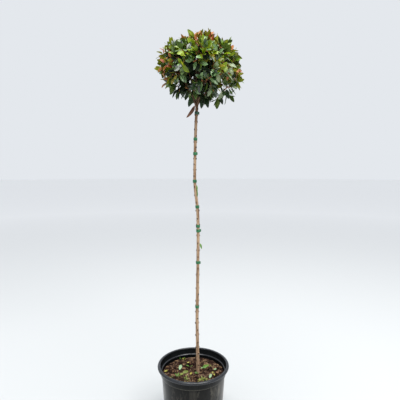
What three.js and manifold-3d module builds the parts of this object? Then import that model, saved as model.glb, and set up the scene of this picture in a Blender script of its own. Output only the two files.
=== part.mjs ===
// A clipped standard ("lollipop") shrub in a round nursery pot, in millimetres, +Z up.
// The origin is the centre of the pot's flat underside, +X is to the right and -Y to the front.
// The trunk stands on the soil and carries a fork of boughs.
// Each bough carries one mass of the crown's leaves.

import * as THREE from "three";
import { mergeVertices } from "three/addons/utils/BufferGeometryUtils.js";
import Module from "manifold-3d";

// ---------------------------------------------------------------- driving dimensions

const GAP = 0.3; // clearance between pieces that touch

const POT = {
  height: 219, // underside to the top of the lip
  baseRadius: 100, // outside, at the underside
  bodyRadius: 111.5, // outside, where the body meets the collar
  bodyTop: 186,
  collarFootRadius: 115, // outside, just above the step
  collarTopRadius: 118, // outside, under the lip
  lipRadius: 126.4, // outside of the lip
  lipHeight: 10,
  lipInnerRound: 2.4, // radius of the lip's inner edge
  ledgeTop: 198, // the step, seen from inside
  stepHeight: 2, // rise of the step between the body and the collar
  wall: 1.8,
  floor: 2.6,
  footChamfer: 2.5,
  segments: 48,
};
const DRAIN = { count: 8, ringRadius: 76, radius: 6, segments: 12 };

const SOIL = {
  level: 187,
  unevenness: 2.2, // half the height of the lumps
  moundHeight: 1.8, // of the soil drawn up round the trunk
  moundRadius: 22,
  rings: 7,
};

const TRUNK = {
  foot: 186, // the flat cut, at the level of the soil
  top: 1148, // the fork's upper end
  baseRadius: 5.6,
  topRadius: 4.7,
  flare: 1.9, // extra radius at the root flare
  flareHeight: 9,
  sides: 12,
  stations: 40,
  crowding: 1.25, // above 1 brings the stations closer together at the flare
  // Sideways and forward sway of the stem's axis, at even steps from the foot to the top.
  sway: [
    [16.2, -5], [15.1, -5], [13.5, -4], [14.8, -3], [16.2, -3], [17.2, -4],
    [15.6, -6], [6.3, -7], [7.0, -4], [9.6, -1], [15.0, 0],
  ],
};

// Heights of the tape bands, measured at the middle of each.
const TIE_HEIGHTS = [428, 584, 696, 711, 778.5, 866.5, 959.5, 1007, 1094.5];
const TIE = { width: 10, thickness: 0.9, segments: 12 };

const CROWN = {
  centre: [21, 0, 1232],
  halfWidth: 149,
  halfHeight: 124,
  opening: THREE.MathUtils.degToRad(22), // half angle of the gap round the trunk
  hollowRadius: 62, // the bare space that the boughs cross
  hollowDrop: 26, // how far its centre lies below the crown's
  seam: THREE.MathUtils.degToRad(0.9), // half the gap between neighbouring masses
  valley: 0.06, // how much lower a mass is at its edge than at its middle
};
const MASS_MESH = { around: 20, innerRings: [0.5, 1], outerRings: [1, 0.86, 0.62, 0.34] };

// For each mass, the direction of its middle from the crown's centre in degrees,
// and its reach as a share of the crown's size.
const MASSES = [
  { name: "top", azimuth: 0, elevation: 90, reach: 1.01 },
  { name: "upper_front", azimuth: -104, elevation: 22, reach: 0.98 },
  { name: "upper_right", azimuth: -30, elevation: 24, reach: 1.0 },
  { name: "upper_back_right", azimuth: 44, elevation: 22, reach: 1.0 },
  { name: "upper_back_left", azimuth: 112, elevation: 24, reach: 0.97 },
  { name: "upper_left", azimuth: 182, elevation: 26, reach: 1.0 },
  { name: "lower_front_right", azimuth: -66, elevation: -33, reach: 1.02 },
  { name: "lower_right", azimuth: 2, elevation: -33, reach: 1.06 },
  { name: "lower_back", azimuth: 78, elevation: -33, reach: 1.0 },
  { name: "lower_left", azimuth: 152, elevation: -32, reach: 0.9 },
  { name: "lower_front_left", azimuth: -142, elevation: -34, reach: 0.9 },
];

const BOUGH = {
  baseRadius: 2.5,
  tipRadius: 1.5,
  leaderBaseRadius: 3.6,
  leaderTipRadius: 2,
  lowerStart: 1116, // height on the trunk of the lower boughs
  upperStart: 1131,
  stagger: 3.5, // neighbouring boughs start this much higher and lower
  rise: 34, // length of the first control arm, which leaves the trunk steeply
  outward: 0.62, // sideways share of that arm's direction
  approach: 26, // length of the last control arm
  overrun: 4, // how far it is drawn past the ends that are then cut off
  sides: 7,
  stations: 8,
};

// ---------------------------------------------------------------- materials

const standard = (color, roughness) => new THREE.MeshStandardMaterial({ color, roughness, metalness: 0 });
const MATERIALS = {
  pot: standard(0x26282a, 0.5),
  soil: standard(0x4a362a, 0.95),
  bark: standard(0xa88461, 0.8),
  twigBark: standard(0x6b4630, 0.75),
  tie: standard(0x2f7d4c, 0.4),
  leaf: standard(0x3d5f22, 0.4),
};

// ---------------------------------------------------------------- solids and booleans

const UP = new THREE.Vector3(0, 0, 1);

const wasm = await Module();
wasm.setup();

// Closes a stack of rings, each a list of points running anticlockwise seen from the stack's end,
// into one solid: a skin between neighbouring rings and a fan over each end.
function loft(rings, startPoint, endPoint) {
  const around = rings[0].length;
  const positions = [];
  const triangles = [];
  rings.flat().forEach((p) => positions.push(p.x, p.y, p.z));
  const at = (ring, side) => ring * around + (side % around);
  for (let ring = 0; ring + 1 < rings.length; ring++) {
    for (let side = 0; side < around; side++) {
      const [a, b] = [at(ring, side), at(ring, side + 1)];
      const [c, d] = [at(ring + 1, side), at(ring + 1, side + 1)];
      triangles.push(a, b, d, a, d, c);
    }
  }
  const last = rings.length - 1;
  const startIndex = positions.length / 3;
  positions.push(startPoint.x, startPoint.y, startPoint.z, endPoint.x, endPoint.y, endPoint.z);
  for (let side = 0; side < around; side++) {
    triangles.push(startIndex, at(0, side + 1), at(0, side));
    triangles.push(startIndex + 1, at(last, side), at(last, side + 1));
  }
  const geometry = new THREE.BufferGeometry();
  geometry.setAttribute("position", new THREE.Float32BufferAttribute(positions, 3));
  geometry.setIndex(triangles);
  return geometry;
}

// Turns a closed profile of [radius, height] pairs about the Z axis.
function turned(profile, segments) {
  const points = profile.map(([radius, height]) => new THREE.Vector2(radius, height));
  return new THREE.LatheGeometry(points, segments).rotateX(Math.PI / 2);
}

function toManifold(geometry) {
  const bare = new THREE.BufferGeometry();
  bare.setAttribute("position", geometry.getAttribute("position"));
  bare.setIndex(geometry.index);
  const merged = mergeVertices(bare, 1e-4);
  return new wasm.Manifold(
    new wasm.Mesh({
      numProp: 3,
      vertProperties: merged.getAttribute("position").array,
      triVerts: new Uint32Array(merged.index.array),
    }),
  );
}

function toGeometry(manifold) {
  const mesh = manifold.getMesh();
  const geometry = new THREE.BufferGeometry();
  geometry.setAttribute("position", new THREE.BufferAttribute(mesh.vertProperties, 3));
  geometry.setIndex(new THREE.BufferAttribute(mesh.triVerts, 1));
  return geometry;
}

// The first geometry with the others cut away.
function cut(geometry, ...tools) {
  return toGeometry(tools.reduce((solid, tool) => solid.subtract(toManifold(tool)), toManifold(geometry)));
}

function named(name, geometry, material) {
  const mesh = new THREE.Mesh(geometry, material);
  mesh.name = name;
  return mesh;
}

// ---------------------------------------------------------------- pot

function potOutside(height) {
  return THREE.MathUtils.lerp(POT.baseRadius, POT.bodyRadius, height / POT.bodyTop);
}

// Inner radius of the wall, between the floor and the ledge.
function potInside(height) {
  const [foot, top] = [POT.floor, POT.ledgeTop - POT.stepHeight];
  const footRadius = potOutside(foot) - 2 * POT.wall;
  return THREE.MathUtils.lerp(footRadius, POT.bodyRadius - POT.wall, (height - foot) / (top - foot));
}

// Points on an arc about (radius, height), from one angle in degrees to another.
function arc(radius, height, size, from, to, steps) {
  return Array.from({ length: steps + 1 }, (_, i) => {
    const angle = THREE.MathUtils.degToRad(from + ((to - from) * i) / steps);
    return [radius + size * Math.cos(angle), height + size * Math.sin(angle)];
  });
}

function potProfile() {
  const { wall, floor, footChamfer, stepHeight, ledgeTop, lipInnerRound: round } = POT;
  const lip = POT.lipHeight / 2;
  const lipCentre = [POT.lipRadius - lip, POT.height - lip];
  const innerEdge = [POT.collarTopRadius - wall + round, POT.height - round];
  return [
    [0, 0],
    [POT.baseRadius - footChamfer, 0],
    [potOutside(footChamfer), footChamfer],
    [POT.bodyRadius, POT.bodyTop],
    [POT.collarFootRadius, POT.bodyTop + stepHeight],
    [POT.collarTopRadius, POT.height - POT.lipHeight],
    ...arc(...lipCentre, lip, -90, 90, 6),
    ...arc(...innerEdge, round, 90, 180, 2),
    [POT.collarFootRadius - wall, ledgeTop],
    [potInside(ledgeTop - stepHeight), ledgeTop - stepHeight],
    [potInside(floor), floor],
    [0, floor],
  ];
}

function potGeometry() {
  const holes = Array.from({ length: DRAIN.count }, (_, i) => {
    const angle = (2 * Math.PI * i) / DRAIN.count;
    return new THREE.CylinderGeometry(DRAIN.radius, DRAIN.radius, 4 * POT.floor, DRAIN.segments)
      .rotateX(Math.PI / 2)
      .translate(DRAIN.ringRadius * Math.cos(angle), DRAIN.ringRadius * Math.sin(angle), 0);
  });
  return cut(turned(potProfile(), POT.segments), ...holes);
}

// ---------------------------------------------------------------- trunk

const trunkAxis = new THREE.CatmullRomCurve3(
  TRUNK.sway.map(([x, y], i) => {
    const share = i / (TRUNK.sway.length - 1);
    return new THREE.Vector3(x, y, THREE.MathUtils.lerp(TRUNK.foot, TRUNK.top, share));
  }),
  false,
  "catmullrom",
);
// The knots are evenly spaced in height, so height runs evenly along the curve's parameter.
const trunkShare = (height) => (height - TRUNK.foot) / (TRUNK.top - TRUNK.foot);
const trunkPoint = (height) => trunkAxis.getPoint(trunkShare(height));
const trunkDirection = (height) => trunkAxis.getTangent(trunkShare(height));

function trunkRadius(height) {
  const taper = THREE.MathUtils.lerp(TRUNK.baseRadius, TRUNK.topRadius, trunkShare(height));
  return taper + TRUNK.flare * Math.exp(-(height - TRUNK.foot) / TRUNK.flareHeight);
}

function trunkRing(height, grown) {
  const centre = trunkPoint(height);
  return Array.from({ length: TRUNK.sides }, (_, i) => {
    const angle = (2 * Math.PI * i) / TRUNK.sides;
    const radius = trunkRadius(height) + grown;
    return new THREE.Vector3(radius * Math.cos(angle), radius * Math.sin(angle), 0).add(centre);
  });
}

// The trunk from its foot to its fork, with every face moved out by grown.
function trunkGeometry(grown = 0) {
  const rings = Array.from({ length: TRUNK.stations + 1 }, (_, i) => {
    const share = (i / TRUNK.stations) ** TRUNK.crowding;
    return trunkRing(THREE.MathUtils.lerp(TRUNK.foot, TRUNK.top, share), grown);
  });
  const lift = new THREE.Vector3(0, 0, grown);
  rings[0].forEach((p) => p.sub(lift));
  rings.at(-1).forEach((p) => p.add(lift));
  return loft(rings, trunkPoint(TRUNK.foot).sub(lift), trunkPoint(TRUNK.top).add(lift));
}

// A tape band wound square to the trunk's axis.
function tie(height, index) {
  const inner = trunkRadius(height) + GAP;
  const outer = inner + TIE.thickness;
  const half = TIE.width / 2;
  const profile = [[inner, -half], [outer, -half], [outer, half], [inner, half], [inner, -half]];
  const mesh = named(`tie_${index + 1}`, turned(profile, TIE.segments), MATERIALS.tie);
  mesh.position.copy(trunkPoint(height));
  mesh.quaternion.setFromUnitVectors(UP, trunkDirection(height));
  return mesh;
}

// ---------------------------------------------------------------- soil

function soilHeight(x, y) {
  const lumps = Math.sin(x / 13 + 0.7) * Math.cos(y / 11 - 0.4) + 0.6 * Math.sin(x / 6.1 - y / 7.3);
  const foot = trunkPoint(TRUNK.foot);
  const fromTrunk = Math.hypot(x - foot.x, y - foot.y);
  const mound = SOIL.moundHeight * Math.exp(-((fromTrunk / SOIL.moundRadius) ** 2));
  return SOIL.level + (SOIL.unevenness * lumps) / 1.6 + mound;
}

function soilGeometry() {
  const circle = (radius, heightAt) =>
    Array.from({ length: POT.segments }, (_, i) => {
      const angle = (2 * Math.PI * i) / POT.segments;
      const [x, y] = [radius * Math.cos(angle), radius * Math.sin(angle)];
      return new THREE.Vector3(x, y, heightAt(x, y));
    });
  const bottom = POT.floor + GAP;
  const bottomRadius = potInside(bottom) - GAP;
  const topRadius = potInside(SOIL.level - SOIL.unevenness) - GAP;
  const surface = Array.from({ length: SOIL.rings }, (_, i) =>
    circle(topRadius * (1 - i / SOIL.rings), soilHeight),
  );
  const body = loft(
    [circle(bottomRadius, () => bottom), ...surface],
    new THREE.Vector3(0, 0, bottom),
    new THREE.Vector3(0, 0, soilHeight(0, 0)),
  );
  return cut(body, trunkGeometry(GAP));
}

// ---------------------------------------------------------------- crown

const crownCentre = new THREE.Vector3(...CROWN.centre);

function directionOf({ azimuth, elevation }) {
  const polar = THREE.MathUtils.degToRad(90 - elevation);
  const around = THREE.MathUtils.degToRad(azimuth);
  const [level, up] = [Math.sin(polar), Math.cos(polar)];
  return new THREE.Vector3(level * Math.cos(around), level * Math.sin(around), up);
}
const directions = MASSES.map(directionOf);

// Distance from the crown's centre to its outline, along a unit vector.
function outline(p) {
  const round = 1 / Math.hypot(p.x / CROWN.halfWidth, p.y / CROWN.halfWidth, p.z / CROWN.halfHeight);
  const lumps =
    0.018 * Math.sin(7.1 * p.x + 2.3 * p.y + 1.7) +
    0.016 * Math.sin(6.3 * p.y - 4.4 * p.z + 0.6) +
    0.014 * Math.sin(13.7 * p.z + 9.1 * p.x - 11 * p.y + 2.9);
  return round * (1 + lumps);
}

// Distance from the crown's centre to the bare hollow's wall, along a unit vector.
function hollow(p) {
  const along = -CROWN.hollowDrop * p.z;
  return along + Math.sqrt(along ** 2 + CROWN.hollowRadius ** 2 - CROWN.hollowDrop ** 2);
}

// Whether a direction belongs to a mass: nearer to its middle than to any other's, and clear of the opening.
function inCell(p, index) {
  const own = p.dot(directions[index]);
  const nearest = directions.every((d, i) => i === index || p.dot(d) < own);
  return nearest && Math.acos(-p.z) > CROWN.opening;
}

// One mass in the crown's frame. An inset moves its inner face that much towards the centre.
function massGeometry(index, inset = 0) {
  const middle = directions[index];
  const turn = new THREE.Quaternion().setFromUnitVectors(UP, middle);
  const ray = (angle, side) =>
    new THREE.Vector3(
      Math.sin(angle) * Math.cos(side),
      Math.sin(angle) * Math.sin(side),
      Math.cos(angle),
    ).applyQuaternion(turn);
  const sides = Array.from({ length: MASS_MESH.around }, (_, i) => (2 * Math.PI * i) / MASS_MESH.around);
  const edges = sides.map((side) => {
    let [inside, outside] = [0, Math.PI / 2];
    for (let step = 0; step < 30; step++) {
      const angle = (inside + outside) / 2;
      if (inCell(ray(angle, side), index)) inside = angle;
      else outside = angle;
    }
    return inside - CROWN.seam;
  });
  const outer = (p, share) => outline(p) * MASSES[index].reach * (1 - CROWN.valley * share ** 2);
  const inner = (p) => hollow(p) - inset;
  const ringAt = (share, distance) =>
    sides.map((side, i) => {
      const p = ray(edges[i] * share, side);
      return p.multiplyScalar(distance(p.clone(), share));
    });
  const rings = [
    ...MASS_MESH.innerRings.map((share) => ringAt(share, inner)),
    ...MASS_MESH.outerRings.map((share) => ringAt(share, outer)),
  ];
  const start = middle.clone().multiplyScalar(inner(middle));
  const end = middle.clone().multiplyScalar(outer(middle, 0));
  return loft(rings, start, end);
}

function tube(curve, baseRadius, tipRadius) {
  const rings = Array.from({ length: BOUGH.stations + 1 }, (_, station) => {
    const share = station / BOUGH.stations;
    const centre = curve.getPoint(share);
    const turn = new THREE.Quaternion().setFromUnitVectors(UP, curve.getTangent(share));
    const radius = THREE.MathUtils.lerp(baseRadius, tipRadius, share);
    return Array.from({ length: BOUGH.sides }, (_, i) => {
      const angle = (2 * Math.PI * i) / BOUGH.sides;
      return new THREE.Vector3(radius * Math.cos(angle), radius * Math.sin(angle), 0)
        .applyQuaternion(turn)
        .add(centre);
    });
  });
  return loft(rings, curve.getPoint(0), curve.getPoint(1));
}

// The bough to one mass, in the crown's frame.
// It is drawn from the trunk's axis to just inside the mass, and cut clear of both.
function boughGeometry(index) {
  const middle = directions[index];
  const leader = index === 0;
  const upper = MASSES[index].elevation > 0;
  const height = (upper ? BOUGH.upperStart : BOUGH.lowerStart) + BOUGH.stagger * (index % 2 ? 1 : -1);
  const start = trunkPoint(leader ? TRUNK.top - BOUGH.overrun : height).sub(crownCentre);
  const end = middle.clone().multiplyScalar(hollow(middle) + BOUGH.overrun);
  const level = new THREE.Vector3(middle.x, middle.y, 0);
  if (!leader) level.normalize().multiplyScalar(BOUGH.outward);
  const away = level.add(UP).normalize();
  const arrive = middle.clone().add(end.clone().sub(start).normalize()).normalize();
  const curve = new THREE.CubicBezierCurve3(
    start,
    start.clone().addScaledVector(away, BOUGH.rise),
    end.clone().addScaledVector(arrive, -BOUGH.approach),
    end,
  );
  const base = leader ? BOUGH.leaderBaseRadius : BOUGH.baseRadius;
  const tip = leader ? BOUGH.leaderTipRadius : BOUGH.tipRadius;
  const trunk = trunkGeometry(GAP).translate(...crownCentre.clone().negate().toArray());
  return cut(tube(curve, base, tip), trunk, massGeometry(index, GAP));
}

// ---------------------------------------------------------------- assembly

function potted() {
  const group = new THREE.Group();
  group.add(named("pot", potGeometry(), MATERIALS.pot));
  group.add(named("soil", soilGeometry(), MATERIALS.soil));
  return group;
}

function stem() {
  const group = new THREE.Group();
  group.add(named("trunk", trunkGeometry(), MATERIALS.bark));
  TIE_HEIGHTS.forEach((height, i) => group.add(tie(height, i)));
  return group;
}

function crown() {
  const group = new THREE.Group();
  group.position.copy(crownCentre);
  MASSES.forEach(({ name }, i) => {
    group.add(named(`bough_${name}`, boughGeometry(i), MATERIALS.twigBark));
    group.add(named(`leaves_${name}`, massGeometry(i), MATERIALS.leaf));
  });
  return group;
}

const topiary = new THREE.Group();
topiary.add(potted(), stem(), crown());

export default topiary;
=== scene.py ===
import math
import random

import bmesh
import bpy
import numpy as np
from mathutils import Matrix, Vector, noise


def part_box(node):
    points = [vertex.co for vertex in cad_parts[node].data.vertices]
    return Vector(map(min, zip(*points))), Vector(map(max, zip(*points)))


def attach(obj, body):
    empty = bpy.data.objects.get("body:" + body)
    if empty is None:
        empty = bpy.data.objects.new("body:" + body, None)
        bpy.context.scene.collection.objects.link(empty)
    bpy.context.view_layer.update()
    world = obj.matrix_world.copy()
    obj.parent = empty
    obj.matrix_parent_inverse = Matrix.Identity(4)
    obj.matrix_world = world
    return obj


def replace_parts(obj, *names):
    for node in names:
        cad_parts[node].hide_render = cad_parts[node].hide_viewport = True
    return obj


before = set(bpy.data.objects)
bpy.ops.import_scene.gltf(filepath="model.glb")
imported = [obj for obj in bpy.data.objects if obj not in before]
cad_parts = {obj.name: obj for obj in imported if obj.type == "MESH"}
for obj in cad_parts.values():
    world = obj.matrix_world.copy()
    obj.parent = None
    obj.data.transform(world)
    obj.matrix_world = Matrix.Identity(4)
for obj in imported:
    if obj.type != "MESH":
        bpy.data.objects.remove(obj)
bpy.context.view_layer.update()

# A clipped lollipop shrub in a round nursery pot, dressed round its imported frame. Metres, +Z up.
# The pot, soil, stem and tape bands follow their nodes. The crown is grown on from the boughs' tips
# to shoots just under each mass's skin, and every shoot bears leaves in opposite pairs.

MM = 0.001
UP = np.array([0.0, 0.0, 1.0])

# ---- what the frame says


def nodes_called(start):
    return sorted(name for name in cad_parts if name.startswith(start))


BOUGHS = nodes_called("bough_")
MASSES = nodes_called("leaves_")
TIES = nodes_called("tie_")


def node_points(name):
    """The corners of a CAD node's mesh, each once."""
    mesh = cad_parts[name].data
    flat = np.empty(len(mesh.vertices) * 3)
    mesh.vertices.foreach_get("co", flat)
    return np.unique(flat.reshape(-1, 3).round(6), axis=0)


# ---- mesh building


def new_object(name, data):
    """A new object in the scene."""
    thing = bpy.data.objects.new(name, data)
    bpy.context.scene.collection.objects.link(thing)
    return thing


def new_mesh(name, vertices, faces):
    mesh = bpy.data.meshes.new(name)
    mesh.from_pydata(np.asarray(vertices).tolist(), [], [list(map(int, f)) for f in faces])
    return mesh


def make_piece(name, vertices, faces, material, slot, smooth=True):
    """A mesh object that rides on the plant's one body."""
    mesh = new_mesh(name, vertices, faces)
    mesh.validate()
    if smooth:
        mesh.shade_smooth()
    mesh.materials.append(material)
    piece = new_object(name, mesh)
    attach(piece, "root")
    return piece


class Soup:
    """Collects several meshes into one list of vertices and one of faces."""

    def __init__(self):
        self.vertices, self.faces, self.count = [], [], 0

    def add(self, vertices, faces):
        self.vertices.append(np.asarray(vertices, float))
        self.faces += [[i + self.count for i in f] for f in faces]
        self.count += len(vertices)

    def joined(self):
        return np.concatenate(self.vertices), self.faces


def unit(v):
    v = np.asarray(v, float)
    return v / np.maximum(np.linalg.norm(v, axis=-1, keepdims=True), 1e-9)


def level_direction(bearing):
    return np.array([math.cos(bearing), math.sin(bearing), 0.0])


def spline(knots, count):
    """Points spaced evenly in parameter on a smooth curve through the knots."""
    knots = np.asarray(knots, float)
    padded = np.vstack([2 * knots[0] - knots[1], knots, 2 * knots[-1] - knots[-2]])
    t = np.linspace(0, len(knots) - 1, count)
    i = np.minimum(t.astype(int), len(knots) - 2)
    u = (t - i)[:, None]
    a, b, c, d = (padded[i + k] for k in range(4))
    bend = (2 * a - 5 * b + 4 * c - d) * u**2
    turn = (3 * b - a - 3 * c + d) * u**3
    return 0.5 * (2 * b + (c - a) * u + bend + turn)


def bezier(start, heading, end, arrival, count, slack=0.36):
    """A curve that leaves start along heading and reaches end along arrival."""
    arm = slack * np.linalg.norm(end - start)
    t = np.linspace(0, 1, count)[:, None]
    a, b = start + heading * arm, end - arrival * arm
    return (1 - t) ** 3 * start + 3 * t * (1 - t) ** 2 * a + 3 * t**2 * (1 - t) * b + t**3 * end


def carried_frames(points):
    """Two directions across a path at each of its points, carried along it without twist."""
    tangents = unit(np.gradient(points, axis=0))
    side = unit(np.cross(tangents[0], [0.31, 0.95, 0.05]))
    sides = []
    for t in tangents:
        side = unit(side - t * np.dot(side, t))
        sides.append(side)
    sides = np.array(sides)
    return sides, np.cross(tangents, sides)


def quads(grid, flip=False):
    """Faces between the neighbours in a grid of vertex numbers."""
    corners = [grid[:-1, :-1], grid[:-1, 1:], grid[1:, 1:], grid[1:, :-1]]
    faces = np.stack(corners, axis=-1).reshape(-1, 4)
    return (faces[:, ::-1] if flip else faces).tolist()


def fan(hub, rim, flip=False):
    """Triangles from one vertex to the edges of a line of vertex numbers."""
    return [[hub, b, a] if flip else [hub, a, b] for a, b in zip(rim[:-1], rim[1:])]


def closed_rings(rings, around):
    """Vertex numbers of rings that follow one another, each ending on its own first number."""
    grid = np.arange(rings * around).reshape(rings, around)
    return np.hstack([grid, grid[:, :1]])


def tube(points, radii, around, relief=None):
    """A closed round limb along a path. relief(angle, place along the path) is added to the radius."""
    sides, ups = carried_frames(points)
    angles = np.linspace(0, 2 * math.pi, around, endpoint=False)
    swell = np.array([[relief(a, i) for a in angles] for i in range(len(points))]) if relief else 0
    r = np.asarray(radii)[:, None] + swell
    rings = (
        points[:, None]
        + (r * np.cos(angles))[..., None] * sides[:, None]
        + (r * np.sin(angles))[..., None] * ups[:, None]
    )
    grid = closed_rings(len(points), around)
    ends = [grid[0, -2::-1].tolist(), grid[-1, :-1].tolist()]
    return rings.reshape(-1, 3), quads(grid) + ends


def turned(profile, around):
    """A profile of (radius, height) pairs turned about the Z axis. It starts and ends on the axis."""
    profile = np.asarray(profile, float)
    inner = profile[1:-1]
    angles = np.linspace(0, 2 * math.pi, around, endpoint=False)
    ring = np.array([level_direction(a) for a in angles])
    body = np.concatenate([ring * r + UP * z for r, z in inner])
    vertices = np.vstack([body, [0, 0, profile[0][1]], [0, 0, profile[-1][1]]])
    grid = closed_rings(len(inner), around)
    return vertices, quads(grid) + fan(len(body), grid[0], True) + fan(len(body) + 1, grid[-1])


def arc(radius, height, size, start, end, steps):
    """Points on an arc about (radius, height), between two angles in degrees."""
    angles = np.radians(np.linspace(start, end, steps + 1))
    return [(radius + size * math.cos(a), height + size * math.sin(a)) for a in angles]


# ---- materials


def linear(r, g, b):
    """A colour given as 0 to 255 display values, in linear light."""
    shares = [c / 255 for c in (r, g, b)]
    return [*(((c + 0.055) / 1.055) ** 2.4 if c > 0.04 else c / 12.92 for c in shares), 1.0]


BLACK = [0.0, 0.0, 0.0, 1.0]


class Nodes:
    """A short way to write a node material."""

    def __init__(self, name, roughness, specular=0.5):
        self.material = bpy.data.materials.new(name)
        self.material.use_nodes = True
        self.tree = self.material.node_tree
        self.shader = self.tree.nodes["Principled BSDF"]
        self.set(self.shader, {"Roughness": roughness, "Specular IOR Level": specular})
        self.place = self.add("TexCoord", {}).outputs["Object"]

    def set(self, node, sockets):
        """Gives each socket its value, or links it to the socket that it is given."""
        for name, value in sockets.items():
            if isinstance(value, bpy.types.NodeSocket):
                self.tree.links.new(value, node.inputs[name])
            else:
                node.inputs[name].default_value = value

    def add(self, kind, sockets):
        node = self.tree.nodes.new("ShaderNode" + kind)
        self.set(node, sockets)
        return node

    def scaled(self, scale):
        return self.add("Mapping", {"Vector": self.place, "Scale": scale}).outputs["Vector"]

    def noise(self, scale, detail=4.0, roughness=0.55, stretch=(1, 1, 1), distortion=0.0):
        look = {"Scale": scale, "Detail": detail, "Roughness": roughness, "Distortion": distortion}
        return self.add("TexNoise", {"Vector": self.scaled(stretch), **look}).outputs["Fac"]

    def cells(self, scale, stretch=(1, 1, 1)):
        return self.add("TexVoronoi", {"Vector": self.scaled(stretch), "Scale": scale}).outputs["Distance"]

    def ramp(self, value, *stops):
        """Display colours, or greys, at places from 0 to 1."""
        node = self.add("ValToRGB", {"Fac": value})
        elements = node.color_ramp.elements
        while len(elements) < len(stops):
            elements.new(0.5)
        for element, (position, colour) in zip(elements, stops):
            element.position = position
            element.color = linear(*colour) if isinstance(colour, tuple) else [colour, colour, colour, 1.0]
        return node.outputs["Color"]

    def mix(self, factor, a, b, how="MIX"):
        node = self.add("Mix", {})
        node.data_type = "RGBA"
        node.blend_type = how
        self.set(node, {0: factor, 6: a, 7: b})
        return node.outputs[2]

    def height(self):
        """Height above the pot's underside."""
        return self.add("SeparateXYZ", {"Vector": self.place}).outputs["Z"]

    def range(self, value, low, high, start=0.0, end=1.0):
        ends = {"From Min": low, "From Max": high, "To Min": start, "To Max": end}
        return self.add("MapRange", {"Value": value, **ends}).outputs["Result"]

    def bump(self, value, distance, strength=1.0):
        node = self.add("Bump", {"Height": value, "Distance": distance, "Strength": strength})
        self.set(self.shader, {"Normal": node.outputs["Normal"]})

    def done(self, colour, roughness=None):
        self.set(self.shader, {"Base Color": colour})
        if roughness is not None:
            self.set(self.shader, {"Roughness": roughness})
        return self.material


def pot_material():
    """Black plastic with dust that has run down it in streaks and dried in smudges. The collar and the
    band just under the lip are kept clear of dust as painted shade from the lip, and a pale line along the
    collar's foot is dust on the step with a painted highlight.
    """
    m = Nodes("nursery_pot_plastic", 0.3, 0.11)
    runs = m.noise(15, 6, 0.65, (1, 1, 0.08), 0.4)
    dust = m.noise(42, 8, 0.74, (1, 1, 0.4))
    plain = m.ramp(m.noise(60, 3), (0.3, (7, 8, 8)), (0.7, (15, 16, 16)))
    # Painted shade: dust runs fade out on the collar, and dust smudges on the collar and just under the
    # lip, so these stay dark as the lip's shade.
    collar = m.range(m.height(), BODY_TOP - 12 * MM, BODY_TOP + 4 * MM, 1.0, 0.1)
    run_share = m.mix(collar, BLACK, m.ramp(runs, (0.46, 0.05), (0.7, 0.65)))
    streaked = m.mix(run_share, plain, linear(84, 80, 72))
    below_lip_shade = m.range(m.height(), POT_HEIGHT - LIP_HEIGHT, POT_HEIGHT - LIP_HEIGHT - 8 * MM)
    smudges = m.mix(m.mix(below_lip_shade, BLACK, collar), BLACK, m.ramp(dust, (0.53, 0.0), (0.72, 0.6)))
    smudged = m.mix(smudges, streaked, linear(128, 122, 110))
    # Painted highlight: a pale line along the collar's foot, partly dust lying on the step and partly the
    # light the step catches.
    collar_edge = m.range(m.height(), BODY_TOP + 5 * MM, BODY_TOP + 1 * MM)
    above_foot = m.range(m.height(), BODY_TOP - 2 * MM, BODY_TOP + 1 * MM)
    dust_and_painted_light = m.mix(m.mix(collar_edge, BLACK, above_foot), smudged, linear(74, 71, 62))
    m.bump(m.noise(900, 2), 0.0002, 0.25)
    m.set(m.shader, {"Sheen Weight": 0.35, "Sheen Roughness": 0.4})
    return m.done(dust_and_painted_light, m.range(runs, 0.4, 0.7, 0.2, 0.46))


def pot_inside_material():
    """The same plastic, damp and clean inside."""
    m = Nodes("nursery_pot_inside", 0.42, 0.08)
    plain = m.ramp(m.noise(40, 4), (0.35, (6, 8, 9)), (0.7, (14, 17, 18)))
    m.bump(m.noise(900, 2), 0.0002, 0.25)
    return m.done(plain, m.range(m.noise(30, 4), 0.3, 0.7, 0.36, 0.54))


def pot_lip_material():
    """The same plastic where hands and hoses keep the lip and the ledge shiny. Its base is a lighter,
    bluer grey than the rest of the pot, a painted reflection of the sky.
    """
    m = Nodes("nursery_pot_lip", 0.2, 0.55)
    # Painted reflection: a lighter, bluish grey base on the lip and ledge.
    plain = m.ramp(m.noise(70, 4, 0.6), (0.3, (12, 14, 18)), (0.7, (30, 33, 40)))
    m.bump(m.noise(700, 2), 0.0002, 0.3)
    return m.done(plain, m.range(m.noise(90, 4), 0.3, 0.7, 0.16, 0.34))


def soil_material(name, dark, middle, light):
    m = Nodes(name, 0.95, 0.04)
    broad = m.noise(32, 5, 0.7)
    fine = m.noise(210, 8, 0.8)
    tone = m.mix(0.5, broad, fine)
    colour = m.ramp(tone, (0.43, dark), (0.53, middle), (0.62, light))
    m.bump(m.mix(0.5, m.cells(260), m.noise(420, 6)), 0.0012, 0.8)
    return m.done(colour)


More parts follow.
